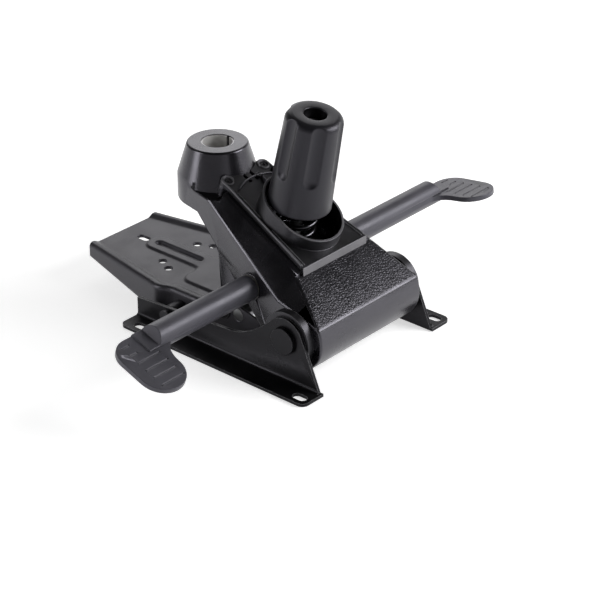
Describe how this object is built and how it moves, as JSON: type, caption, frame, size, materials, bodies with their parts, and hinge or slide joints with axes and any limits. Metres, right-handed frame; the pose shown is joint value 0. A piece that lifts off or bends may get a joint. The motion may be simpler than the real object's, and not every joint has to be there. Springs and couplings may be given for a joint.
{
  "type": "office chair tilt mechanism",
  "caption": "Synchro tilt mechanism for an office chair: gas column socket, seat brackets, backrest bracket, tension knob and two side levers, lying on its seat flanges.",
  "frame": {"origin": "centre of the four seat bolt slots, on the seat plane", "axes": "+Z away from the seat, along the gas column socket; -Y towards the front of the chair; +X towards the height lever"},
  "size_m": [0.476, 0.326, 0.2281],
  "materials": {
    "cast_black": "satin powder coat over die-cast aluminium",
    "grained_plastic": "moulded, fine grain",
    "bright_steel": "machined bore",
    "black_paint": "satin powder coat",
    "grey_paint": "satin powder coat",
    "knob_plastic": "matte charcoal",
    "handle_plastic": "fine matte grain",
    "spring_black": "gloss black",
    "bush_plastic": "smooth nylon",
    "dark_steel": "black oxide",
    "zinc_steel": "zinc plated"
  },
  "bodies": {
    "housing": {"housing": "cast_black", "column_sleeve": "bright_steel", "mechanism_cover": "grained_plastic", "cover_screws": "dark_steel", "front_pivot_bushes": "bush_plastic", "back_pivot_bushes": "bush_plastic", "lever_bushes": "bush_plastic", "spring_seat": "zinc_steel", "main_spring": "spring_black", "rocker_pin": "zinc_steel"},
    "seat_frame": {"seat_bracket_left": "black_paint", "seat_bracket_right": "black_paint", "front_pivot_shaft": "zinc_steel", "pivot_cap_left": "black_paint", "pivot_cap_right": "black_paint", "pivot_spacer_left": "dark_steel", "pivot_spacer_right": "dark_steel"},
    "back_frame": {"back_bracket": "grey_paint", "back_pivot_shaft": "zinc_steel", "back_pivot_rings": "dark_steel", "link_pins": "dark_steel", "link_spacers": "dark_steel", "link_nuts": "dark_steel", "cross_bar": "zinc_steel", "lock_comb": "zinc_steel"},
    "tension_bolt": {"tension_bolt": "zinc_steel"},
    "spring_cap": {"spring_cap": "zinc_steel", "thrust_washer": "bush_plastic"},
    "knob": {"tension_knob": "knob_plastic", "knob_nut": "zinc_steel"},
    "height_lever": {"height_lever_rod": "zinc_steel", "height_lever_handle": "handle_plastic", "height_lever_finger": "zinc_steel", "height_lever_clip": "dark_steel"},
    "valve_rocker": {"valve_rocker": "zinc_steel"},
    "lock_lever": {"lock_lever_rod": "zinc_steel", "lock_lever_handle": "handle_plastic", "lock_lever_crank": "zinc_steel", "lock_lever_clip": "dark_steel"},
    "lock_blade": {"lock_blade": "zinc_steel"}
  },
  "joints": [
    {"name": "back_tilt", "type": "hinge", "parent": "housing", "child": "back_frame", "pos_m": [0, 0.026, 0.034], "axis": [1, 0, 0], "range_deg": [0, 20], "stiffness_Nm_per_rad": 45, "springref_deg": -20.05},
    {"name": "seat_tilt", "type": "hinge", "parent": "housing", "child": "seat_frame", "pos_m": [0, -0.0665, 0.042], "axis": [1, 0, 0], "range_deg": [0, 7.4]},
    {"name": "tension_pull", "type": "slide", "parent": "housing", "child": "tension_bolt", "axis": [0, 0.1994, -0.9799], "range_m": [0, 0.007], "deforming": ["main_spring"]},
    {"name": "preload_slide", "type": "slide", "parent": "tension_bolt", "child": "spring_cap", "axis": [0, 0.1994, -0.9799], "range_m": [0, 0.0091], "deforming": ["main_spring"]},
    {"name": "knob_turn", "type": "hinge", "parent": "spring_cap", "child": "knob", "pos_m": [0, -0.0137, 0.1306], "axis": [0, 0.1994, -0.9799], "range_deg": [0, 2160]},
    {"name": "height_lever", "type": "hinge", "parent": "housing", "child": "height_lever", "pos_m": [0, -0.0092, 0.0681], "axis": [1, 0, 0], "range_deg": [0, 15], "stiffness_Nm_per_rad": 2.5, "springref_deg": -14.32},
    {"name": "valve_rocker", "type": "hinge", "parent": "housing", "child": "valve_rocker", "pos_m": [0, 0.03, 0.078], "axis": [1, 0, 0], "range_deg": [0, 4.4]},
    {"name": "lock_lever", "type": "hinge", "parent": "housing", "child": "lock_lever", "pos_m": [0, -0.0092, 0.0681], "axis": [1, 0, 0], "range_deg": [-42, 0]},
    {"name": "lock_blade", "type": "slide", "parent": "housing", "child": "lock_blade", "axis": [0, 0.5079, -0.8614], "range_m": [0, 0.0094]}
  ],
  "couplings": [
    {"joint": "seat_tilt", "follows": "back_tilt", "ratio": 0.368},
    {"joint": "tension_pull", "follows": "back_tilt", "m_per_rad": 0.01975},
    {"joint": "preload_slide", "follows": "knob_turn", "m_per_rad": 0.00023873},
    {"joint": "valve_rocker", "follows": "height_lever", "ratio": 0.28986},
    {"joint": "lock_blade", "follows": "lock_lever", "m_per_rad": -0.012711}
  ]
}
